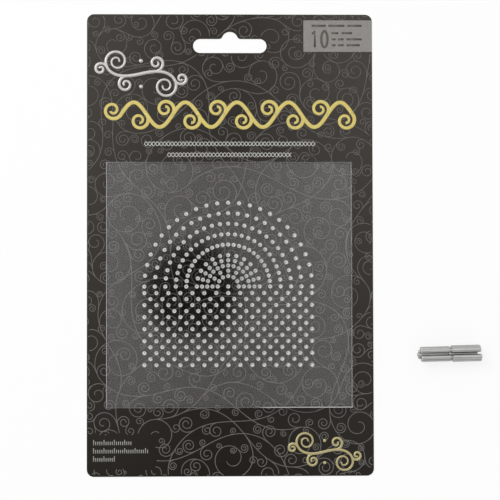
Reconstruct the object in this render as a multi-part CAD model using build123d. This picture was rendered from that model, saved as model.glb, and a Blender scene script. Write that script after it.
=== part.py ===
from build123d import *
from math import cos, radians, sin, sqrt, tan
import os

# A wire jig as it is sold: a clear peg board on a hang card, with ten loose pegs beside it.
# Millimetres. The card lies on its back, +X to its right, +Y to its hanging end, +Z up.
# The origin is the centre of the card's back.

# Hang card
CARD_WIDTH = 119.5
CARD_HEIGHT = 193.0
CARD_THICKNESS = 0.5
CARD_CORNER_RADIUS = 3.0

# Hang slot: a long slot with a round hump for a single hook
SLOT_WIDTH = 30.8
SLOT_HEIGHT = 5.9
SLOT_TO_CARD_TOP = 13.3
HUMP_RADIUS = 3.4
HUMP_RISE = 3.0
HUMP_BLEND_RADIUS = 1.6

# Peg board of cast acrylic. It lies on the card's raised print, so air is left under it.
PLATE_SIDE = 101.6
PLATE_THICKNESS = 6.35
PLATE_OFFSET_X = -0.5
PLATE_OFFSET_Y = -16.8
PLATE_EDGE_BREAK = 0.15
PLATE_SEAT_GAP = 0.05

# Pegs: a thin shank that plugs into the board, a neck, and a thicker head that the wire turns round
PEG_LENGTH = 25.0
SHANK_DIAMETER = 1.59
SHANK_LENGTH = 12.2
SHANK_TIP_RADIUS = 0.5
SHANK_END_CHAMFER = 0.2
NECK_DIAMETER = 1.1
NECK_LENGTH = 0.7
HEAD_DIAMETER = 2.2
HEAD_SHOULDER_CHAMFER = 0.3
HEAD_END_CHAMFER = 0.2

# Peg holes: blind, drilled from the face. A centre hole, half rings above it and staggered rows
# below it. Each half ring has its radius, as a share of the ring step, and its number of holes.
PEG_HOLE_CLEARANCE = 0.055
PEG_HOLE_RADIUS = SHANK_DIAMETER / 2 + PEG_HOLE_CLEARANCE
PEG_HOLE_DEPTH = 5.0
DRILL_POINT_ANGLE = 118.0
CUT_OVERRUN = 1.0
CENTRE_HOLE_OFFSET_X = -0.48
CENTRE_HOLE_OFFSET_Y = -0.77
RING_STEP = 2.17
HALF_RING_SHARES = [
    (16, 25),
    (14, 25),
    (12, 25),
    (10, 25),
    (8, 25),
    (6, 13),
    (5, 13),
    (4, 13),
    (3, 7),
    (2, 7),
]
ROW_STEP = 2.477
FIRST_ROW_DROP = 2.71
ROW_COUNT = 13
LONG_ROW_HOLES = 15

# The pegs lie in a narrow stack beside the card, shanks towards it
STACK_TO_CARD = 31.15
STACK_OFFSET_Y = -45.5
STACK_YAW = 1.4
PEG_GAP = 0.06
PEG_PITCH = HEAD_DIAMETER + PEG_GAP

# Each stacked peg, lowest first: its place across the stack and its slip along it, as shares of
# the peg pitch, its own yaw in degrees, and the numbers of the pegs that it rests on
STACK_SHARES = [
    (-1.1, 0.45, 0.0, ()),
    (-0.1, -0.16, 0.0, ()),
    (0.9, 0.35, 0.0, ()),
    (-0.6, -0.16, 0.0, (1, 2)),
    (0.4, -0.12, 0.0, (2, 3)),
    (-1.1, 0.30, 0.0, (4,)),
    (-0.1, -0.47, 0.0, (4, 5)),
    (0.9, 0.15, 0.0, (5,)),
    (-0.64, 0.22, -0.4, (6, 7)),
    (0.62, 0.04, 0.3, (7, 8)),
]


def hang_card():
    """A rounded card, cut through by the hang slot and its hump."""
    slot_y = CARD_HEIGHT / 2 - SLOT_TO_CARD_TOP
    hump_y = SLOT_HEIGHT / 2 + HUMP_RISE - HUMP_RADIUS
    slot = SlotOverall(SLOT_WIDTH, SLOT_HEIGHT) + Pos(0, hump_y) * Circle(HUMP_RADIUS)
    inner_corners = slot.vertices().filter_by(lambda corner: abs(corner.X) < HUMP_RADIUS)
    inner_corners = inner_corners.filter_by(lambda corner: corner.Y > 0)
    slot = fillet(inner_corners, HUMP_BLEND_RADIUS)
    outline = RectangleRounded(CARD_WIDTH, CARD_HEIGHT, CARD_CORNER_RADIUS)
    return extrude(outline - Pos(0, slot_y) * slot, CARD_THICKNESS)


def half_ring_holes():
    """Centres of the holes on the half rings, measured from the centre hole."""
    places = []
    for share, count in HALF_RING_SHARES:
        radius = share * RING_STEP
        for number in range(count):
            angle = radians(180 * number / (count - 1))
            places.append((radius * cos(angle), radius * sin(angle)))
    return places


def row_holes():
    """Centres of the holes in the staggered rows, measured from the centre hole."""
    places = []
    for row in range(ROW_COUNT):
        holes = LONG_ROW_HOLES - row % 2
        for number in range(holes):
            x = (2 * number - (holes - 1)) * ROW_STEP
            places.append((x, -FIRST_ROW_DROP - row * ROW_STEP))
    return places


def drilled_space():
    """What the drill takes out for one hole, with the board's face at zero height."""
    point = PEG_HOLE_RADIUS / tan(radians(DRILL_POINT_ANGLE / 2))
    profile = Polyline(
        (0, CUT_OVERRUN),
        (PEG_HOLE_RADIUS, CUT_OVERRUN),
        (PEG_HOLE_RADIUS, -PEG_HOLE_DEPTH),
        (0, -PEG_HOLE_DEPTH - point),
        close=True,
    )
    return revolve(Plane.XZ * make_face(profile), Axis.Z)


def jig_plate():
    """The clear board with its blind holes, lying on the card."""
    places = [(0, 0)] + half_ring_holes() + row_holes()
    pattern = Pos(CENTRE_HOLE_OFFSET_X, CENTRE_HOLE_OFFSET_Y, PLATE_THICKNESS)
    board = extrude(Rectangle(PLATE_SIDE, PLATE_SIDE), PLATE_THICKNESS)
    board = chamfer(board.edges(), PLATE_EDGE_BREAK)
    board -= [pattern * Pos(x, y) * drilled_space() for x, y in places]
    print(len(places), "peg holes")
    return Pos(PLATE_OFFSET_X, PLATE_OFFSET_Y, CARD_THICKNESS + PLATE_SEAT_GAP) * board


def peg():
    """One turned peg along X, its middle at the origin."""
    tip = -PEG_LENGTH / 2
    end = PEG_LENGTH / 2
    shank_end = tip + SHANK_LENGTH
    shoulder = shank_end + NECK_LENGTH
    shank = SHANK_DIAMETER / 2
    neck = NECK_DIAMETER / 2
    head = HEAD_DIAMETER / 2
    profile = Polyline(
        (tip + SHANK_TIP_RADIUS, shank),
        (shank_end - SHANK_END_CHAMFER, shank),
        (shank_end, shank - SHANK_END_CHAMFER),
        (shank_end, neck),
        (shoulder, neck),
        (shoulder, head - HEAD_SHOULDER_CHAMFER),
        (shoulder + HEAD_SHOULDER_CHAMFER, head),
        (end - HEAD_END_CHAMFER, head),
        (end, head - HEAD_END_CHAMFER),
        (end, 0),
        (tip, 0),
        (tip, shank - SHANK_TIP_RADIUS),
    )
    profile += CenterArc((tip + SHANK_TIP_RADIUS, shank - SHANK_TIP_RADIUS), SHANK_TIP_RADIUS, 90, 90)
    return revolve(make_face(profile), Axis.X)


def stacked_pegs():
    """Ten pegs by name, each where it lies in the stack on the pegs named for it."""
    stack = Pos(CARD_WIDTH / 2 + STACK_TO_CARD, STACK_OFFSET_Y) * Rot(0, 0, STACK_YAW)
    middles = []
    pegs = {}
    for across_share, slip_share, yaw, below in STACK_SHARES:
        across = across_share * PEG_PITCH
        height = HEAD_DIAMETER / 2
        for number in below:
            under = middles[number - 1]
            height = max(height, under.Z + sqrt(PEG_PITCH**2 - (across - under.Y) ** 2))
        middles.append(Vector(slip_share * PEG_PITCH, across, height))
        name = f"peg_{len(middles):02d}"
        place = stack * Pos(middles[-1]) * Rot(0, 0, yaw)
        pegs[name] = place * peg()
        print(f"{name}: {place.position.X:.2f} {place.position.Y:.2f} {place.position.Z:.2f}")
    return pegs


parts = {"hang_card": hang_card(), "jig_plate": jig_plate()}
parts.update(stacked_pegs())
os.makedirs("parts", exist_ok=True)
for name, solid in parts.items():
    export_step(solid, f"parts/{name}.step")
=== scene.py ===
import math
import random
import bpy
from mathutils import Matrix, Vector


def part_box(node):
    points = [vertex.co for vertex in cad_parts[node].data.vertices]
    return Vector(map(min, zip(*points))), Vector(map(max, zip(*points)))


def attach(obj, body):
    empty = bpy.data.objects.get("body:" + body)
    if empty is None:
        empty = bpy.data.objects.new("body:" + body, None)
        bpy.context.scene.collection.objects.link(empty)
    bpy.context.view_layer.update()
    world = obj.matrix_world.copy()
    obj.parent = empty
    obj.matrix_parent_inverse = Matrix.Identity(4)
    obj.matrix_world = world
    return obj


bl_info = {
    "name": "Wire Jig",
    "version": (1, 0, 0),
    "blender": (4, 5, 0),
    "location": "3D View > Sidebar > Wire Jig",
    "description": "Dresses a clear peg board on its printed hang card, with ten loose steel pegs",
    "category": "Object",
}

from collections import namedtuple

import bmesh
import bpy
from mathutils import Euler, Matrix, Vector

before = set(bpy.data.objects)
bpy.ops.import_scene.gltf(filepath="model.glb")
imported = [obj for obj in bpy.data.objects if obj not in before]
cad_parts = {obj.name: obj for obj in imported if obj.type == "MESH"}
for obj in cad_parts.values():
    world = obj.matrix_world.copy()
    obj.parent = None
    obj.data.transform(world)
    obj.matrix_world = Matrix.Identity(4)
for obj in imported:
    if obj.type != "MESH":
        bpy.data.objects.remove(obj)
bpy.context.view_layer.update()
MM = 0.001
CARD_LOW, CARD_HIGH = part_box("hang_card")
BOARD_LOW, BOARD_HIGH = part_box("jig_plate")
PEGS = sorted(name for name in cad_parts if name.startswith("peg_"))


# Shader maths


class Field:
    """One shader value. Sums, products and comparisons of fields add Math nodes."""

    def __init__(self, shader, socket):
        self.shader = shader
        self.socket = socket

    def math(self, operation, *values):
        return self.shader.add("ShaderNodeMath", {"operation": operation}, *values)

    def __add__(self, other):
        return self.math("ADD", self, other)

    def __sub__(self, other):
        return self.math("SUBTRACT", self, other)

    def __rsub__(self, other):
        return self.math("SUBTRACT", other, self)

    def __mul__(self, other):
        return self.math("MULTIPLY", self, other)

    def __lt__(self, other):
        return self.math("LESS_THAN", self, other)

    def __gt__(self, other):
        return self.math("GREATER_THAN", self, other)

    def __abs__(self):
        return self.math("ABSOLUTE", self)

    __radd__ = __add__
    __rmul__ = __mul__

    def larger(self, other):
        return self.math("MAXIMUM", self, other)

    def ease(self, low, high, start=0.0, end=1.0, pace="SMOOTHSTEP"):
        """Goes from start to end as this value goes from low to high, and stays there beyond."""
        return self.shader.add(
            "ShaderNodeMapRange",
            {"interpolation_type": pace},
            Value=self,
            From_Min=low,
            From_Max=high,
            To_Min=start,
            To_Max=end,
        )


class Shader:
    """A material, or the world, whose nodes are added one by one."""

    def __init__(self, owner):
        self.owner = owner
        owner.use_nodes = True
        self.tree = owner.node_tree
        self.tree.nodes.clear()

    def add(self, kind, settings=None, *values, output=None, **named):
        """Adds a node, sets its settings first and then its sockets, and gives one output."""
        node = self.tree.nodes.new(kind)
        for key, value in (settings or {}).items():
            setattr(node, key, value)
        for socket, value in zip(node.inputs, values):
            self.feed(socket, value)
        for key, value in named.items():
            name = key.replace("_", " ")
            socket = next(s for s in node.inputs if s.enabled and s.name == name)
            self.feed(socket, value)
        if output:
            return Field(self, node.outputs[output])
        return Field(self, next(s for s in node.outputs if s.enabled))

    def feed(self, socket, value):
        if isinstance(value, Field):
            self.tree.links.new(value.socket, socket)
        elif socket.type == "RGBA" and len(value) == 3:
            socket.default_value = (*value, 1)
        else:
            socket.default_value = value

    def place(self):
        """The point's own place in the frame, in metres."""
        return self.add("ShaderNodeTexCoord", output="Object")

    def split(self, vector):
        """A vector's three numbers."""
        node = self.add("ShaderNodeSeparateXYZ", None, vector).socket.node
        return [Field(self, socket) for socket in node.outputs]

    def is_ray(self, kind):
        """One for rays of this kind and zero for all others."""
        return self.add("ShaderNodeLightPath", output=f"Is {kind} Ray")

    def noise(self, vector, scale, detail=2.0, roughness=0.5):
        return self.add(
            "ShaderNodeTexNoise", None, Vector=vector, Scale=scale, Detail=detail, Roughness=roughness
        )

    def stretch(self, vector, cells, turn=0.0):
        """Coordinates with so many cells to the metre along each axis, turned about Z."""
        return self.add(
            "ShaderNodeMapping",
            {"vector_type": "TEXTURE"},
            Vector=vector,
            Rotation=(0, 0, turn),
            Scale=[1 / count for count in cells],
        )

    def mix(self, share, first, second):
        return self.add("ShaderNodeMix", {"data_type": "RGBA"}, Factor=share, A=first, B=second)

    def bump(self, height, strength, distance):
        return self.add(
            "ShaderNodeBump", None, Height=height, Strength=strength, Distance=distance
        )

    def principled(self, **sockets):
        return self.add("ShaderNodeBsdfPrincipled", None, **sockets)

    def mix_shaders(self, share, first, second):
        return self.add("ShaderNodeMixShader", None, share, first, second)

    def finish(self, surface):
        """Joins the surface to the output, and gives the finished material or world."""
        kind = "World" if isinstance(self.owner, bpy.types.World) else "Material"
        node = self.tree.nodes.new(f"ShaderNodeOutput{kind}")
        self.feed(node.inputs["Surface"], surface)
        return self.owner


# Materials

# How far the print goes down the card's cut edge, and where its lighter, warmer tone is reached, a
# painted light towards the hanging end
PRINT_SKIN = 0.03 * MM
PAINTED_LIGHT_FROM_Y = -20 * MM

# The board's surfaces are told apart by their place.
# How far in from its sides the sawn surface ends and the holes start
SAWN_REACH = 0.155 * MM
HOLES_FROM_SIDE = 0.5 * MM
# How far above its underside the broken lower edge ends and the holes start
LOWER_EDGE_TOP = 0.16 * MM
HOLES_FROM_UNDERSIDE = 0.3 * MM
# Depths below its face at which a hole's frost starts and is full, and at which its painted shade
# towards the tip starts and is darkest
HOLE_MOUTH_DEPTH = 0.01 * MM
HOLE_BOTTOM_DEPTH = 4.9 * MM
SHADE_FROM_DEPTH = 5.05 * MM
DARKEST_SHADE_DEPTH = 5.45 * MM

# Where along X the frost and its painted highlight fade out on the upper side, and in on the lower one
UPPER_HIGHLIGHT_FADE = (-40 * MM, -34 * MM)
LOWER_HIGHLIGHT_FADE = (8 * MM, 18 * MM)

# The pegs' pile is turned a little about Z, and the lathe's rings with it
PEGS_YAW = math.radians(1.4)

# The tone of an ink's specks, as a share of the ink's own
SPECK_SHADE = 0.72


def new_shader(name):
    return Shader(bpy.data.materials.new(name))


def printed_card(settings):
    """Charcoal varnished print, painted lighter and warmer towards the hanging end as painted light,
    with a pale board core and back.
    """
    shader = new_shader("charcoal_printed_card")
    point = shader.place()
    y, z = shader.split(point)[1:]
    darkest = (0.004, 0.004, 0.004)
    pale_fibre = (0.86, 0.84, 0.79)
    # Painted light: the print is lighter towards the hanging end, where the light falls more strongly,
    # and darker at the foot.
    up = y.ease(CARD_LOW.y, PAINTED_LIGHT_FROM_Y)
    charcoal = shader.mix(up, settings.charcoal_foot_painted_shade, settings.charcoal_head_painted_light)
    cloud = shader.noise(point, scale=45.0, detail=3.0)
    print_colour = shader.mix(cloud * 0.35, charcoal, darkest)
    fibre = shader.noise(point, scale=2600.0, detail=3.0, roughness=0.65)
    core = shader.mix(fibre, settings.core, pale_fibre)
    is_bare = z < CARD_HIGH.z - PRINT_SKIN
    gloss = shader.noise(point, scale=160.0)
    surface = shader.principled(
        Base_Color=shader.mix(is_bare, print_colour, core),
        Roughness=is_bare * 0.5 + gloss.ease(0.3, 0.7, 0.06, 0.11),
        IOR=1.45,
        Specular_IOR_Level=settings.varnish,
        Specular_Tint=settings.varnish_tint,
        Normal=shader.bump(fibre, 0.05, 0.01 * MM),
    )
    return shader.finish(surface)


def clear_acrylic(settings):
    """Polished clear acrylic, with sawn white sides whose frost differs from side to side as a painted
    highlight, drilled white holes painted darker towards their tips as painted shade, and a broken
    lower edge painted dark as painted shade.
    """
    shader = new_shader("clear_cast_acrylic")
    point = shader.place()
    x, y, z = shader.split(point)
    middle = (BOARD_LOW + BOARD_HIGH) / 2
    half = (BOARD_HIGH.x - BOARD_LOW.x) / 2
    rim = half - SAWN_REACH
    reach = abs(x - middle.x).larger(abs(y - middle.y))
    is_lower_edge = (reach > rim) * (z < BOARD_LOW.z + LOWER_EDGE_TOP)
    is_side = (reach > rim) - is_lower_edge
    is_under_face = z < BOARD_HIGH.z - HOLE_MOUTH_DEPTH
    is_over_back = z > BOARD_LOW.z + HOLES_FROM_UNDERSIDE
    is_hole = is_under_face * is_over_back * (reach < half - HOLES_FROM_SIDE)

    # Painted highlight: the sawn frost differs from side to side as light falls on the edges, strongest
    # on the right half of the lower side and on the left side.
    left = (x < middle.x - rim) * settings.frost_and_highlight_left
    right = (x > middle.x + rim) * settings.frost_and_highlight_right
    head_frost_and_highlight = x.ease(*UPPER_HIGHLIGHT_FADE, settings.frost_and_highlight_corner, settings.frost_and_highlight_dim)
    head = (y > middle.y + rim) * head_frost_and_highlight
    foot_frost_and_highlight = x.ease(*LOWER_HIGHLIGHT_FADE, settings.frost_and_highlight_dim, settings.frost_and_highlight_foot)
    foot = (y < middle.y - rim) * foot_frost_and_highlight
    side_frost_and_highlight = left.larger(right).larger(head.larger(foot))
    streaks = shader.noise(shader.stretch(point, (2400, 2400, 260)), scale=1.0, detail=3.0)
    sawn = is_side * side_frost_and_highlight * streaks.ease(0.2, 0.6, 0.7, 1.0)

    is_bottom = z < BOARD_HIGH.z - HOLE_BOTTOM_DEPTH
    swirl = shader.noise(shader.stretch(point, (900, 900, 3800)), scale=1.0, detail=3.0)
    wall = swirl.ease(0.25, 0.75, settings.frost_wall - 0.15, settings.frost_wall + 0.15)
    drilled = is_hole * wall.larger(is_bottom)
    # Painted shade: the holes' frost is painted darker towards their tips, deep in the holes.
    darkest_shade, shade_from = BOARD_HIGH.z - DARKEST_SHADE_DEPTH, BOARD_HIGH.z - SHADE_FROM_DEPTH
    tip_shade = z.ease(darkest_shade, shade_from, 1.0, 0.0, "LINEAR")

    dust = shader.noise(point, scale=70.0, detail=4.0, roughness=0.6)
    glass = shader.principled(
        Base_Color=(1, 1, 1),
        Roughness=dust.ease(0.35, 0.75, 0.05, 0.08),
        IOR=1.49,
        Transmission_Weight=1.0,
    )
    clear = shader.add("ShaderNodeBsdfTransparent", None, Color=(0.93, 0.93, 0.93))
    for ray in ("Shadow", "Diffuse"):
        glass = shader.mix_shaders(shader.is_ray(ray), glass, clear)
    grain = shader.noise(point, scale=6000.0)
    frost = shader.mix(is_hole * tip_shade, settings.frost, settings.drill_point_painted_shade)
    # Painted shade: the broken lower edge is painted dark, as it faces the card and gets little light.
    frosted = shader.principled(
        Base_Color=shader.mix(is_lower_edge, frost, settings.lower_edge_painted_shade),
        Roughness=grain.ease(0.2, 0.8, 0.5, 0.8),
        IOR=1.49,
        Normal=shader.bump(grain, 0.3, 0.02 * MM),
    )
    rough = sawn.larger(drilled).larger(is_lower_edge)
    return shader.finish(shader.mix_shaders(rough, glass, frosted))


def peg_steel(settings):
    """Satin turned steel: fine rings round each peg and a little tarnish."""
    shader = new_shader("satin_turned_steel")
    point = shader.place()
    along = shader.stretch(point, (9000, 60, 60), PEGS_YAW)
    rings = shader.noise(along, scale=1.0, roughness=0.6)
    patches = shader.stretch(point, (130, 420, 420))
    tarnish = shader.noise(patches, scale=1.0, detail=3.0, roughness=0.6)
    satin = settings.steel_roughness
    surface = shader.principled(
        Base_Color=shader.mix(tarnish.ease(0.35, 0.75), settings.steel, settings.steel_dark),
        Metallic=1.0,
        Roughness=rings.ease(0.2, 0.8, satin - 0.06, satin + 0.08),
        Normal=shader.bump(rings, 0.25, 0.01 * MM),
    )
    return shader.finish(surface)


def ink(name, tone, foot_tone=None, roughness=0.45, metallic=0.0):
    """A printed ink with fine specks. It may have another tone at the card's foot."""
    shader = new_shader(name)
    point = shader.place()
    speck = shader.noise(point, scale=900.0, detail=3.0, roughness=0.6)
    darker = [channel * SPECK_SHADE for channel in tone]
    surface_tone = shader.mix(speck.ease(0.35, 0.75, 0.0, 0.5), tone, darker)
    if foot_tone:
        up = shader.split(point)[1].ease(CARD_LOW.y, CARD_HIGH.y)
        surface_tone = shader.mix(up, foot_tone, surface_tone)
    surface = shader.principled(
        Base_Color=surface_tone,
        Metallic=metallic,
        Roughness=speck.ease(0.2, 0.8, roughness - 0.08, roughness + 0.08),
        Normal=shader.bump(speck, 0.1, 0.01 * MM),
    )
    return shader.finish(surface)


# Pieces


def mesh_of(form, name):
    """A mesh of this name from a bmesh, which is then freed."""
    mesh = bpy.data.meshes.new(name)
    form.to_mesh(mesh)
    form.free()
    return mesh


def new_piece(mesh, material):
    """Puts a mesh into the scene under its own name, in one material."""
    mesh.materials.clear()
    mesh.materials.append(material)
    piece = bpy.data.objects.new(mesh.name, mesh)
    bpy.context.scene.collection.objects.link(piece)
    return piece


def print_on_card(mesh, material):
    """Makes a printed piece that rides on the card."""
    piece = new_piece(mesh, material)
    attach(piece, "card")


def stroke_mesh(name, runs, width, rise, roundness=0, base=CARD_HIGH.z):
    """Closed raised strokes on the card. A run is a list of x and y in millimetres and share of
    the width. Width, rise and base are in metres."""
    line = bpy.data.curves.new(name, "CURVE")
    line.dimensions = "3D"
    line.twist_mode = "Z_UP"
    line.bevel_depth = width / 2
    line.bevel_resolution = roundness
    line.use_fill_caps = True
    for run in runs:
        closed = run[0][:2] == run[-1][:2]
        run = run[:-1] if closed else run
        spline = line.splines.new("POLY")
        spline.use_cyclic_u = closed
        spline.points.add(len(run) - 1)
        for point, (x, y, share) in zip(spline.points, run):
            point.co = (x * MM, y * MM, 0, 1)
            point.radius = share
    holder = bpy.data.objects.new(name, line)
    bpy.context.scene.collection.objects.link(holder)
    bpy.context.view_layer.update()
    seen = holder.evaluated_get(bpy.context.evaluated_depsgraph_get())
    mesh = bpy.data.meshes.new_from_object(seen)
    bpy.data.objects.remove(holder)
    bpy.data.curves.remove(line)
    flat = Matrix.Diagonal((1, 1, rise / (width / 2), 1))
    mesh.transform(Matrix.Translation((0, 0, base)) @ flat)
    form = bmesh.new()
    form.from_mesh(mesh)
    bmesh.ops.remove_doubles(form, verts=form.verts, dist=0.001 * MM)
    bmesh.ops.recalc_face_normals(form, faces=form.faces)
    for face in form.faces:
        face.smooth = True
    form.to_mesh(mesh)
    form.free()
    mesh.name = name
    return mesh


# Lines, in millimetres and radians

LEAD_STEP = 1.0
LEAST_LEAD_STEPS = 4
CURL_STEP = 0.8
CURL_TURN = 0.42

# A point of a line, with the line's heading and curvature there
Station = namedtuple("Station", ["point", "heading", "curvature"])


def walk(station, curvature, step):
    """The next station of a line that bends by this curvature."""
    x, y = station.point
    heading = station.heading + curvature * step
    point = (x + math.cos(heading) * step, y + math.sin(heading) * step)
    return Station(point, heading, curvature)


def lead_steps(lead):
    """How many steps a lead of this length is drawn in."""
    return max(LEAST_LEAD_STEPS, round(lead / LEAD_STEP))


def scroll(start, heading, side, lead, radius, turns, bend=0.0, eye=0.18):
    """A line that leaves start along its heading and tightens into a curl, to eye times its radius.
    Side is 1 for a curl to the left and -1 for one to the right."""
    line = [Station(start, heading, bend)]
    steps = lead_steps(lead)
    for number in range(steps):
        share = (number + 1) / steps
        curvature = bend + (side / radius - bend) * share * share * (3 - 2 * share)
        line.append(walk(line[-1], curvature, lead / steps))
    turned = 0.0
    while turned < turns * math.tau:
        reach = radius * (1 - (1 - eye) * turned / (turns * math.tau))
        turn = min(CURL_TURN, CURL_STEP / reach)
        line.append(walk(line[-1], side / reach, reach * turn))
        turned += turn
    return line


def vine(start, heading, sway, wave, phase, length, radius, turns):
    """A long stem that sways from side to side and ends in a curl."""
    line = [Station(start, heading, 0.0)]
    for number in range(round(length / LEAD_STEP)):
        curvature = sway * math.sin(phase + math.tau * number * LEAD_STEP / wave)
        line.append(walk(line[-1], curvature, LEAD_STEP))
    start, heading, curvature = line[-1]
    side = 1 if curvature > 0 else -1
    return line + scroll(start, heading, side, 2 * radius, radius, turns, curvature)[1:]


# Places on the card, in millimetres from its middle. A box is left, foot, right and head.

CARD_HALF_WIDTH = CARD_HIGH.x / MM
CARD_HALF_HEIGHT = CARD_HIGH.y / MM
CARD_CORNER = 3.0
SLOT_Y = 83.2
SLOT_HALF_WIDTH = 15.4
SLOT_HALF_HEIGHT = 2.95
HUMP_Y = 85.75
HUMP_RADIUS = 3.4
PLAIN_PATCH = (-59.75, -93.2, -31.3, -79.2)
COUNT_PANEL = (30.9, 80.8, 59.75, 94.1)

# How far the scrollwork's layout, and then its print, keep from the card's edges
LAYOUT_MARGIN = 0.15
PRINT_MARGIN = 0.21


def in_box(point, box):
    x, y = point
    left, foot, right, head = box
    return left < x < right and foot < y < head


def is_on_card(point, margin=LAYOUT_MARGIN):
    """True on the card's face, clear of its edges and its slot."""
    x, y = point
    half_width = CARD_HALF_WIDTH - margin
    half_height = CARD_HALF_HEIGHT - margin
    if abs(x) > half_width or abs(y) > half_height:
        return False
    across = abs(x) - (half_width - CARD_CORNER)
    along = abs(y) - (half_height - CARD_CORNER)
    if across > 0 and along > 0 and math.hypot(across, along) > CARD_CORNER:
        return False
    past_slot = max(abs(x) - (SLOT_HALF_WIDTH - SLOT_HALF_HEIGHT), 0)
    if math.hypot(past_slot, y - SLOT_Y) < SLOT_HALF_HEIGHT + 2 * margin:
        return False
    return math.hypot(x, y - HUMP_Y) > HUMP_RADIUS + 3 * margin


def is_printed(point):
    """True where the scrollwork is printed: on the card, off its plain patch and its panel."""
    on_face = is_on_card(point, PRINT_MARGIN)
    return on_face and not in_box(point, PLAIN_PATCH) and not in_box(point, COUNT_PANEL)


# Scrollwork


class Coverage:
    """How much line crosses each small square of the card, so that new scrolls find the bare ones."""

    CELL = 2.5
    NEIGHBOUR_SHARE = 0.35
    OFF_CARD = 3.0

    def __init__(self):
        self.cells = {}

    def cell(self, point):
        return math.floor(point[0] / self.CELL), math.floor(point[1] / self.CELL)

    def add(self, line):
        for station in line:
            across, along = self.cell(station.point)
            for step_x in (-1, 0, 1):
                for step_y in (-1, 0, 1):
                    key = (across + step_x, along + step_y)
                    gain = 1.0 if step_x == step_y == 0 else self.NEIGHBOUR_SHARE
                    self.cells[key] = self.cells.get(key, 0.0) + gain

    def crowding(self, line):
        total = 0.0
        for station in line:
            if is_on_card(station.point):
                total += self.cells.get(self.cell(station.point), 0.0)
            else:
                total += self.OFF_CARD
        return total / len(line)

    def add_barest(self, tries):
        """Adds and gives the line that crosses the least of what is there."""
        line = min(tries, key=self.crowding)
        self.add(line)
        return line


# A vine's least and greatest measures: the radius of its sway, its wave, the wave's phase, its
# length and its curl's radius
VINE_COUNT = 24
VINE_SWAY = (14, 26)
VINE_WAVE = (60, 110)
VINE_PHASE = (0, math.pi / 2)
VINE_LENGTH = (50, 110)
VINE_CURL = (7, 11)
VINE_TURNS = 1.4

# Scrolls of one size: how many, their least and greatest curl radius, lead as a share of it,
# turns, and share of the line's width
SCROLL_SIZES = [
    (16, 5.5, 9.0, 2.4, 1.3, 1.0),
    (87, 3.2, 5.5, 2.8, 1.4, 1.0),
    (238, 1.9, 3.0, 2.6, 1.4, 1.0),
    (404, 1.15, 1.8, 2.4, 1.35, 0.95),
]

# How scrolls of one size differ: the chance that one curls the way its parent does, the spread
# of their lead, turns and eye, and the share of the parent's curvature that they start with
SAME_SIDE_CHANCE = 0.3
LEAD_SPREAD = (0.5, 1.4)
TURN_SPREAD = (0.8, 1.2)
EYE_SPREAD = (0.14, 0.3)
KEPT_CURVATURE = 0.6

# Lines that are tried for each scroll, of which the barest is kept. A vine has twice as many.
TRIES = 30

# Buds are the stations that new lines may branch off. They start and end here on a line.
FIRST_BUD = 2
BUDDING_SHARE = 0.8

# Where the first vines come in over the card's edges
ROOTS = [
    Station((-45.0, -98.0), 1.2, 0.0),
    Station((25.0, -98.0), 1.9, 0.0),
    Station((61.0, 5.0), 2.7, 0.0),
    Station((-61.0, 30.0), 0.5, 0.0),
]

# A printed line starts at this share of its width, is full after so many stations, and has lost
# this share by its end
THIN_START = 0.75
FULL_AFTER = 6
LOST_BY_END = 0.12


def new_vine(chance, buds):
    """A vine from one of the buds, which first sways away from its parent."""
    start, heading, curvature = chance.choice(buds)
    side = -1 if curvature > 0 else 1
    sway = side / chance.uniform(*VINE_SWAY)
    wave = chance.uniform(*VINE_WAVE)
    phase = chance.uniform(*VINE_PHASE)
    length = chance.uniform(*VINE_LENGTH)
    return vine(start, heading, sway, wave, phase, length, chance.uniform(*VINE_CURL), VINE_TURNS)


def new_branch(chance, buds, least, most, lead_share, turns):
    """A scroll from one of the buds, which mostly curls away from its parent."""
    start, heading, curvature = chance.choice(buds)
    side = -1 if curvature > 0 else 1
    if chance.random() < SAME_SIDE_CHANCE:
        side = -side
    radius = chance.uniform(least, most)
    lead = radius * lead_share * chance.uniform(*LEAD_SPREAD)
    turns *= chance.uniform(*TURN_SPREAD)
    eye = chance.uniform(*EYE_SPREAD)
    return scroll(start, heading, side, lead, radius, turns, curvature * KEPT_CURVATURE, eye)


def buds_of(line):
    """The stations of a line that others may branch off."""
    budding = line[FIRST_BUD : int(len(line) * BUDDING_SHARE)]
    return [station for station in budding if is_on_card(station.point)]


def buds_left(buds, line):
    """The buds without the one that this line has grown from."""
    return [bud for bud in buds if bud.point != line[0].point]


def card_scrolls(seed):
    """Scrolls that branch off each other and fill the card evenly, with their shares of the width."""
    chance = random.Random(seed)
    covered = Coverage()
    lines = []
    buds = ROOTS
    for _ in range(VINE_COUNT):
        line = covered.add_barest([new_vine(chance, buds) for _ in range(2 * TRIES)])
        lines.append((line, 1.0))
        buds = buds_left(buds, line) + buds_of(line)
    for count, least, most, lead_share, turns, width in SCROLL_SIZES:
        buds = [bud for line, _ in lines for bud in buds_of(line)]
        for _ in range(count):
            tries = [new_branch(chance, buds, least, most, lead_share, turns) for _ in range(TRIES)]
            line = covered.add_barest(tries)
            lines.append((line, width))
            buds = buds_left(buds, line)
    return lines


def printed_runs(line, width):
    """The printed stretches of one scroll, with their share of the line's width."""
    runs = [[]]
    last = len(line) - 1
    for number, station in enumerate(line):
        start_share = THIN_START + (1 - THIN_START) * min(1, number / FULL_AFTER)
        share = width * start_share * (1 - LOST_BY_END * number / last)
        if is_printed(station.point):
            runs[-1].append((*station.point, share))
        elif runs[-1]:
            runs.append([])
    return [run for run in runs if len(run) > 2]


# Drawn ornament, in millimetres on the card

BRANCH_LEAD_SHARE = 1.7
BRANCH_TURNS = 1.2
FLOURISH_TURNS = 1.3


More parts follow.
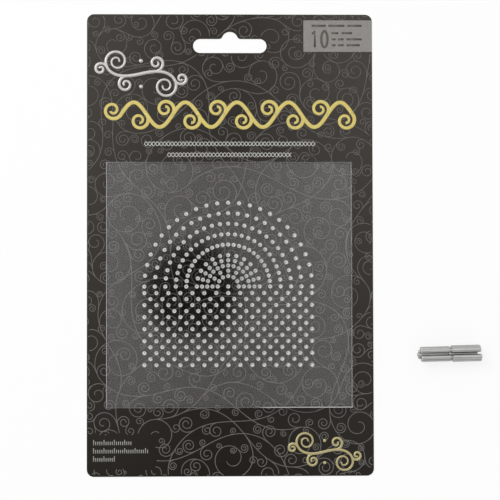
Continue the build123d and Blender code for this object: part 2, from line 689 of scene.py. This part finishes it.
def swelling_run(line, start_share, end_share, ball=1.4):
    """One drawn scroll whose stroke swells over its first quarter, thins to its end share and
    ends in a ball, whose last two points are wider than the stroke."""
    last = len(line) - 1
    run = []
    for number, station in enumerate(line):
        share = number / last
        width = start_share + (1 - start_share) * min(1, share * 4)
        run.append((*station.point, width * (1 - (1 - end_share) * share)))
    x, y, width = run[-1]
    return run[:-2] + [(*run[-2][:2], width * ball * 0.85), (x, y, width * ball)]


def spray(start, heading, side, lead, radius, turns, bend, branches):
    """A drawn scroll with smaller ones branching off the outside of its stem. Each branch has its
    place, as a share of the stem, and its curl's radius."""
    line = scroll(start, heading, side, lead, radius, turns, bend)
    runs = [swelling_run(line, 1.0, 0.5)]
    for place, branch_radius in branches:
        point, branch_heading, curvature = line[round(place * lead_steps(lead))]
        branch_lead = BRANCH_LEAD_SHARE * branch_radius
        shape = (-side, branch_lead, branch_radius, BRANCH_TURNS, curvature)
        branch = scroll(point, branch_heading, *shape)
        runs.append(swelling_run(branch, 0.7, 0.6))
    return runs


def turned_pair(middle, heading, *shape):
    """A spray and its copy turned half round the middle, their stems joined into one stroke."""
    first = spray(middle, heading, *shape)
    second = spray(middle, heading + math.pi, *shape)
    stem = first[0][:0:-1] + second[0]
    return [stem] + first[1:] + second[1:]


def dot(x, y, radius, pen):
    """A round spot, drawn from left to right with a pen of this width."""
    steps, start, span = 8, 0.06, 0.88
    run = []
    for step in range(steps + 1):
        angle = math.pi * (start + span * step / steps)
        run.append((x - radius * math.cos(angle), y, 2 * radius / pen * math.sin(angle)))
    return run


FLOURISHES = {
    "silver": {
        "pen": 1.5,
        "middle": (-37.2, 71.5),
        "tilt": math.radians(13),
        "stem": 25.0,
        "radius": 4.0,
        "bend": -0.01,
        "branches": ((0.2, 2.9), (0.6, 2.3)),
        "dot_places": (5.4, -5.4),
        "dot_radius": 0.85,
    },
    "gold": {
        "pen": 1.2,
        "middle": (39.2, -86.4),
        "tilt": math.radians(15),
        "stem": 20.0,
        "radius": 3.4,
        "bend": -0.02,
        "branches": ((0.22, 2.4), (0.62, 1.8)),
        "dot_places": (4.6, -4.6),
        "dot_radius": 0.7,
    },
}


def flourish_runs(pen, middle, tilt, stem, radius, bend, branches, dot_places, dot_radius):
    """A turned pair of sprays, with a dot above its middle and one below."""
    x, y = middle
    runs = turned_pair(middle, tilt, -1, stem, radius, FLOURISH_TURNS, bend, branches)
    return runs + [dot(x, y + up, dot_radius, pen) for up in dot_places]


def title_runs():
    """A running scroll: a stem in waves, with a curl where each wave crosses the middle."""
    left, right, middle, swing = -45.6, 51.6, 54.3, 5.2
    lead, radius, turns, bend, eye = 1.6, 3.8, 1.3, 0.12, 0.2
    bays, steps_per_bay = 9, 14
    bay = (right - left) / bays
    slope = math.atan(swing * math.pi / bay)
    steps = bays * steps_per_bay
    stem = []
    for step in range(steps + 1):
        x = left + (right - left) * step / steps
        stem.append((x, middle + swing * math.sin(math.pi * (x - left) / bay), 1.0))
    runs = [stem]
    for number in range(bays + 1):
        side = 1 if number % 2 == 0 else -1
        heading = side * slope
        if number == 0:
            side = -1
            heading = slope + math.pi
        start = (left + bay * number, middle)
        curl = scroll(start, heading, side, lead, radius, turns, side * bend, eye)
        runs.append(swelling_run(curl, 1.0, 0.6, 1.3))
    return runs


def twist_runs():
    """Two rows of a two-strand twist."""
    pitch, swing, point_gap = 3.1, 0.85, 0.26
    runs = []
    for left, right, middle in ((-35.8, 35.7, 42.1), (-26.2, 25.7, 37.5)):
        steps = round((right - left) / point_gap)
        for strand in (1, -1):
            run = []
            for step in range(steps + 1):
                x = left + (right - left) * step / steps
                y = middle + strand * swing * math.sin(math.tau * (x - left) / pitch)
                run.append((x, y, 1.0))
            runs.append(run)
    return runs


def tick_runs():
    """Three short rows of ticks, like a small rule. Every fifth tick is tall."""
    left, pitch, short, tall = -56.9, 0.86, 1.5, 2.2
    runs = []
    for right, foot in ((-41.0, -83.4), (-34.4, -86.8), (-47.6, -90.2)):
        x = left
        number = 0
        while x < right:
            height = tall if number % 5 == 0 else short
            runs.append([(x, foot, 1.0), (x, foot + height, 1.0)])
            x += pitch
            number += 1
    return runs


def count_runs():
    """The plain number ten: a one with a flag, and a tall ring."""
    foot, height = 82.75, 6.8
    one, flag_width, flag_height = 35.7, 1.1, 1.3
    nought, nought_radius, points = 39.7, 1.3, 24
    head = foot + height
    flagged_one = [(one - flag_width, head - flag_height, 1.0), (one, head, 1.0), (one, foot, 1.0)]
    ring = []
    for step in range(points + 1):
        angle = math.tau * (step % points) / points
        x = nought + nought_radius * math.cos(angle)
        ring.append((x, foot + height / 2 + height / 2 * math.sin(angle), 1.0))
    return [flagged_one, ring]


def panel_bar_runs():
    """Bars of uneven length on the count panel."""
    rows = [
        (91.8, [(34.4, 40.4), (41.4, 48.2), (49.4, 55.4)]),
        (88.7, [(42.8, 45.6), (47.0, 51.4)]),
        (86.1, [(42.8, 44.4), (45.4, 47.8), (49.0, 55.4)]),
        (83.6, [(42.8, 44.4), (45.4, 47.8), (49.0, 54.6)]),
    ]
    return [[(left, y, 1.0), (right, y, 1.0)] for y, spans in rows for left, right in spans]


# Settings


def colour(name, description, default):
    return bpy.props.FloatVectorProperty(
        name=name, description=description, subtype="COLOR", size=3, min=0, max=1, default=default
    )


def amount(name, description, default):
    return bpy.props.FloatProperty(name=name, description=description, min=0, max=1, default=default)


def metres(name, description, default):
    return bpy.props.FloatProperty(
        name=name, description=description, unit="LENGTH", min=0, default=default, precision=5
    )


class JigCardSettings(bpy.types.PropertyGroup):
    # Painted light: the head's charcoal is lighter than the foot's, as the light falls more strongly on
    # the hanging end.
    charcoal_head_painted_light: colour("Charcoal, head", "Print towards the hanging end", (0.0138, 0.0108, 0.0079))
    charcoal_foot_painted_shade: colour("Charcoal, foot", "Print at the foot", (0.0114, 0.0096, 0.007))
    core: colour("Board core", "Cut edge and back of the card", (0.62, 0.60, 0.55))
    varnish: amount("Varnish", "How strongly the print's varnish reflects", 0.39)
    varnish_tint: colour("Varnish tint", "Warmth of what the varnish reflects", (1.0, 0.93, 0.87))


class JigPrintSettings(bpy.types.PropertyGroup):
    seed: bpy.props.IntProperty(name="Seed", description="Layout of the scrollwork", default=11)
    line_width: metres("Line width", "Width of the scrollwork's lines", 0.38 * MM)
    line_rise: metres("Line rise", "How far the scrollwork stands proud", 0.02 * MM)
    foil_rise: metres("Foil rise", "How far the raised foil stands proud", 0.22 * MM)
    line_head: colour("Line, head", "Scrollwork at the hanging end", (0.098, 0.089, 0.08))
    line_foot: colour("Line, foot", "Scrollwork at the foot", (0.122, 0.116, 0.107))
    yellow: colour("Yellow", "Title band", (0.605, 0.495, 0.135))
    silver: colour("Silver", "Raised silver foil", (0.45, 0.435, 0.415))
    gold: colour("Gold", "Raised gold foil", (0.43, 0.375, 0.19))
    white: colour("White", "Twists", (0.62, 0.62, 0.59))
    tick: colour("Tick", "Rows of ticks", (0.36, 0.36, 0.335))
    panel: colour("Panel", "Count panel", (0.217, 0.207, 0.194))
    panel_ink: colour("Panel ink", "Number and bars", (0.075, 0.062, 0.048))


class JigBoardSettings(bpy.types.PropertyGroup):
    frost: colour("Frost", "Drilled and sawn acrylic", (0.92, 0.92, 0.9))
    # Painted shade: the holes' tips are painted darker than their frost.
    drill_point_painted_shade: colour("Drill points", "Middles of the holes' bottoms", (0.54, 0.54, 0.525))
    # Painted shade: the lower edge is painted dark, as it faces the card and gets little light.
    lower_edge_painted_shade: colour("Lower edge", "Broken edge round the underside", (0.1, 0.1, 0.1))
    # Painted highlight: these amounts of side frost differ from side to side as the light falls on the
    # board's edges.
    frost_and_highlight_left: amount("Left side", "Frost on the left-hand side", 0.5)
    frost_and_highlight_corner: amount("Upper corner", "Frost on the left end of the upper side", 0.13)
    frost_and_highlight_right: amount("Right side", "Frost on the right-hand side", 0.17)
    frost_and_highlight_dim: amount("Dim sides", "Frost on the rest of the upper side and the lower one", 0.01)
    frost_and_highlight_foot: amount("Lower corner", "Frost on the right half of the lower side", 0.8)
    frost_wall: amount("Hole wall", "Frost on the holes' walls", 0.37)


class JigPegSettings(bpy.types.PropertyGroup):
    steel: colour("Steel", "Turned steel", (0.43, 0.43, 0.42))
    steel_dark: colour("Tarnish", "Darker steel", (0.34, 0.34, 0.33))
    steel_roughness: amount("Roughness", "How satin the steel is", 0.38)


class JigStageSettings(bpy.types.PropertyGroup):
    floor: colour("Floor", "Pale table", (0.86, 0.86, 0.86))
    sky: amount("Sky", "Strength of the studio's soft light", 0.75)
    lamp_power: bpy.props.FloatProperty(name="Lamp power", description="Watts", min=0, default=8.0)
    lens_radius: metres("Lens radius", "Half-bright radius of the lens that the board mirrors", 40 * MM)


# Operators for the object

# Widths of the pens, and how far the print stands proud
TITLE_PEN = 1.7 * MM
TWIST_PEN = 0.31 * MM
TICK_PEN = 0.42 * MM
NUMBER_PEN = 1.0 * MM
BAR_PEN = 0.85 * MM
TITLE_RISE = 0.06 * MM
INK_RISE = 0.03 * MM
PANEL_RISE = 0.03 * MM
PANEL_INK_RISE = 0.02 * MM
PANEL_EDGE_BREAK = 0.01 * MM


class JIG_OT_card(bpy.types.Operator):
    """Finish the hang card"""

    bl_idname = "jig.card"
    bl_label = "Hang Card"

    def execute(self, context):
        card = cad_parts["hang_card"]
        card.material_slots[0].material = printed_card(context.scene.jig_card)
        return {"FINISHED"}


class JIG_OT_scrollwork(bpy.types.Operator):
    """Print the card's all-over scrollwork"""

    bl_idname = "jig.scrollwork"
    bl_label = "Scrollwork"

    def execute(self, context):
        settings = context.scene.jig_print
        lines = card_scrolls(settings.seed)
        runs = [run for line, width in lines for run in printed_runs(line, width)]
        mesh = stroke_mesh("card_scrollwork", runs, settings.line_width, settings.line_rise)
        grey = ink("scrollwork_grey_ink", settings.line_head, settings.line_foot)
        print_on_card(mesh, grey)
        return {"FINISHED"}


class JIG_OT_title(bpy.types.Operator):
    """Print the yellow running scroll, the pale twists under it and the rows of ticks"""

    bl_idname = "jig.title"
    bl_label = "Title Band"

    def execute(self, context):
        settings = context.scene.jig_print
        band = stroke_mesh("card_title_band", title_runs(), TITLE_PEN, TITLE_RISE, 2)
        print_on_card(band, ink("title_yellow_ink", settings.yellow))
        twists = stroke_mesh("card_twist_rows", twist_runs(), TWIST_PEN, INK_RISE)
        print_on_card(twists, ink("pale_twist_ink", settings.white))
        ticks = stroke_mesh("card_tick_rows", tick_runs(), TICK_PEN, INK_RISE)
        print_on_card(ticks, ink("grey_tick_ink", settings.tick))
        return {"FINISHED"}


class JIG_OT_foil(bpy.types.Operator):
    """Raise the silver and the gold foil flourish"""

    bl_idname = "jig.foil"
    bl_label = "Foil Flourishes"

    def execute(self, context):
        settings = context.scene.jig_print
        for name, shape in FLOURISHES.items():
            pen = shape["pen"] * MM
            runs = flourish_runs(**shape)
            mesh = stroke_mesh(f"card_{name}_flourish", runs, pen, settings.foil_rise, 3)
            tone = getattr(settings, name)
            print_on_card(mesh, ink(f"{name}_foil", tone, roughness=0.4, metallic=0.5))
        return {"FINISHED"}


class JIG_OT_count_panel(bpy.types.Operator):
    """Print the grey count panel with its plain number and bars"""

    bl_idname = "jig.count_panel"
    bl_label = "Count Panel"

    def execute(self, context):
        settings = context.scene.jig_print
        left, foot, right, head = (value * MM for value in COUNT_PANEL)
        top = CARD_HIGH.z + PANEL_RISE
        form = bmesh.new()
        bmesh.ops.create_cube(form, size=1.0)
        size = Matrix.Diagonal((right - left, head - foot, 2 * PANEL_RISE, 1))
        centre = Matrix.Translation(((left + right) / 2, (foot + head) / 2, CARD_HIGH.z))
        bmesh.ops.transform(form, matrix=centre @ size, verts=form.verts)
        bmesh.ops.bevel(
            form,
            geom=form.edges[:],
            offset=PANEL_EDGE_BREAK,
            segments=1,
            profile=0.5,
            affect="EDGES",
            material=-1,
        )
        panel = mesh_of(form, "card_count_panel")
        print_on_card(panel, ink("panel_grey_ink", settings.panel))
        dark = ink("panel_brown_ink", settings.panel_ink)
        for name, runs, pen in (
            ("card_count_number", count_runs(), NUMBER_PEN),
            ("card_count_bars", panel_bar_runs(), BAR_PEN),
        ):
            print_on_card(stroke_mesh(name, runs, pen, PANEL_INK_RISE, 1, top), dark)
        return {"FINISHED"}


class JIG_OT_board(bpy.types.Operator):
    """Finish the clear peg board"""

    bl_idname = "jig.board"
    bl_label = "Peg Board"

    def execute(self, context):
        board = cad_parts["jig_plate"]
        board.material_slots[0].material = clear_acrylic(context.scene.jig_board)
        return {"FINISHED"}


class JIG_OT_pegs(bpy.types.Operator):
    """Finish the ten pegs"""

    bl_idname = "jig.pegs"
    bl_label = "Pegs"

    def execute(self, context):
        steel = peg_steel(context.scene.jig_pegs)
        for name in PEGS:
            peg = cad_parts[name]
            peg.material_slots[0].material = steel
        return {"FINISHED"}


# Stage

# The camera, fitted to the card's edges and the board's holes
CAMERA_PLACE = Vector((-15.74, -19.11, 602.78)) * MM
CAMERA_TURN = Euler((math.radians(1.5612), math.radians(-1.231), math.radians(-0.1128)), "XYZ")
CAMERA_LENS = 103.92
CAMERA_SENSOR = 36.0
CAMERA_SHIFT_X = 0.0528
CAMERA_SHIFT_Y = 0.0018

# The table's half side, how far it is under the card's back, and the share of it that glows for
# the camera, mirrors and clear pieces
FLOOR_HALF_SIDE = 6.0
FLOOR_DROP = 0.02 * MM
FLOOR_GLOW = 0.8

# The mirrored lens: how far it is under the camera, its disc's radius as a share of the lens
# radius, and where its edge starts and ends as shares of it
LENS_DROP = 5 * MM
LENS_DISC_SHARE = 1.3
LENS_EDGE_START = 0.83
LENS_EDGE_END = 1.17

LAMP_PLACE = Vector((-0.62, 0.55, 1.05))
LAMP_DIAMETER = 0.7


class JIG_OT_stage(bpy.types.Operator):
    """Set the pale floor, the soft light and the camera"""

    bl_idname = "jig.stage"
    bl_label = "Stage"

    def execute(self, context):
        settings = context.scene.jig_stage
        scene = context.scene
        scene.view_settings.view_transform = "Standard"
        self.camera(scene)
        self.floor(settings)
        self.lens(settings)
        self.sky(scene, settings)
        self.lamp(scene, settings)
        return {"FINISHED"}

    def camera(self, scene):
        data = bpy.data.cameras.new("photo_camera")
        data.sensor_width = CAMERA_SENSOR
        data.lens = CAMERA_LENS
        data.shift_x = CAMERA_SHIFT_X
        data.shift_y = CAMERA_SHIFT_Y
        data.clip_start = 0.01
        data.clip_end = 20.0
        camera = bpy.data.objects.new("photo_camera", data)
        camera.location = CAMERA_PLACE
        camera.rotation_euler = CAMERA_TURN
        scene.collection.objects.link(camera)
        scene.camera = camera

    def stage_piece(self, name, form, material):
        piece = new_piece(mesh_of(form, name), material)
        return piece

    def floor(self, settings):
        """The table, near white to the camera and in mirrors, which keeps the object's shadow."""
        form = bmesh.new()
        bmesh.ops.create_grid(form, x_segments=1, y_segments=1, size=FLOOR_HALF_SIDE)
        bmesh.ops.translate(form, vec=(0, 0, -FLOOR_DROP), verts=form.verts)
        shader = new_shader("pale_table")
        lit = shader.principled(Base_Color=settings.floor, Roughness=0.9, Specular_IOR_Level=0.1)
        glow = shader.add("ShaderNodeEmission", None, Color=(1, 1, 1), Strength=1.0)
        for ray in ("Camera", "Glossy", "Transmission"):
            lit = shader.mix_shaders(shader.is_ray(ray) * FLOOR_GLOW, lit, glow)
        self.stage_piece("table_floor", form, shader.finish(lit))

    def lens(self, settings):
        """The dark lens that the board mirrors. Only mirrored and bent rays see it."""
        radius = settings.lens_radius
        form = bmesh.new()
        bmesh.ops.create_circle(form, cap_ends=True, segments=48, radius=LENS_DISC_SHARE * radius)
        centre = CAMERA_PLACE - Vector((0, 0, LENS_DROP))
        bmesh.ops.translate(form, vec=centre, verts=form.verts)
        shader = new_shader("dark_lens")
        place = shader.place()
        away = shader.add(
            "ShaderNodeVectorMath", {"operation": "DISTANCE"}, place, centre, output="Value"
        )
        edge = away.ease(radius * LENS_EDGE_START, radius * LENS_EDGE_END)
        dark = shader.principled(Base_Color=(0.01, 0.01, 0.01), Roughness=1.0)
        air = shader.add("ShaderNodeBsdfTransparent")
        dark_disc = shader.finish(shader.mix_shaders(edge, dark, air))
        lens = self.stage_piece("mirrored_lens", form, dark_disc)
        lens.visible_camera = False
        lens.visible_diffuse = False
        lens.visible_shadow = False

    def sky(self, scene, settings):
        """Soft light from all round, white to the camera. What the board mirrors overhead is
        brighter towards the hanging end, with a dimmer strip down its middle."""
        world = bpy.data.worlds.new("soft_studio")
        scene.world = world
        shader = Shader(world)
        x, y, z = shader.split(shader.add("ShaderNodeTexCoord", output="Generated"))
        slope = y.ease(-0.15, 0.15, 0.35, 1.92, "LINEAR")
        strip = abs(x - 0.02).ease(0.0, 0.09, 0.46, 1.0)
        overhead = z.ease(0.7, 0.96)
        mirrored = overhead * (slope * strip - 1) + 1
        surface = shader.add("ShaderNodeBackground", None, (1, 1, 1), settings.sky)
        for ray, strength in (("Camera", 1.0), ("Glossy", mirrored), ("Transmission", 1.0)):
            seen = shader.add("ShaderNodeBackground", None, (1, 1, 1), strength)
            surface = shader.mix_shaders(shader.is_ray(ray), surface, seen)
        shader.finish(surface)

    def lamp(self, scene, settings):
        data = bpy.data.lights.new("soft_lamp", "AREA")
        data.shape = "DISK"
        data.size = LAMP_DIAMETER
        data.energy = settings.lamp_power
        lamp = bpy.data.objects.new("soft_lamp", data)
        lamp.location = LAMP_PLACE
        lamp.rotation_euler = (-LAMP_PLACE).to_track_quat("-Z", "Y").to_euler()
        scene.collection.objects.link(lamp)


# Panel and main


class JIG_PT_panel(bpy.types.Panel):
    """Lists the jig's sizes, colours and pieces"""

    bl_label = "Wire Jig"
    bl_idname = "JIG_PT_panel"
    bl_space_type = "VIEW_3D"
    bl_region_type = "UI"
    bl_category = "Wire Jig"

    def draw(self, context):
        layout = self.layout
        for name, settings_type in SETTINGS.items():
            box = layout.box()
            settings = getattr(context.scene, name)
            for key in settings_type.__annotations__:
                box.prop(settings, key)
        for operator in OPERATORS:
            layout.operator(operator.bl_idname)


SETTINGS = {
    "jig_card": JigCardSettings,
    "jig_print": JigPrintSettings,
    "jig_board": JigBoardSettings,
    "jig_pegs": JigPegSettings,
    "jig_stage": JigStageSettings,
}
OPERATORS = [
    JIG_OT_stage,
    JIG_OT_card,
    JIG_OT_scrollwork,
    JIG_OT_title,
    JIG_OT_foil,
    JIG_OT_count_panel,
    JIG_OT_board,
    JIG_OT_pegs,
]


def register():
    for name, settings_type in SETTINGS.items():
        bpy.utils.register_class(settings_type)
        setattr(bpy.types.Scene, name, bpy.props.PointerProperty(type=settings_type))
    for operator in OPERATORS:
        bpy.utils.register_class(operator)
    bpy.utils.register_class(JIG_PT_panel)


def unregister():
    bpy.utils.unregister_class(JIG_PT_panel)
    for operator in reversed(OPERATORS):
        bpy.utils.unregister_class(operator)
    for name, settings_type in SETTINGS.items():
        delattr(bpy.types.Scene, name)
        bpy.utils.unregister_class(settings_type)


def main():
    register()
    for operator in OPERATORS:
        group, name = operator.bl_idname.split(".")
        getattr(getattr(bpy.ops, group), name)()


if __name__ == "__main__":
    main()
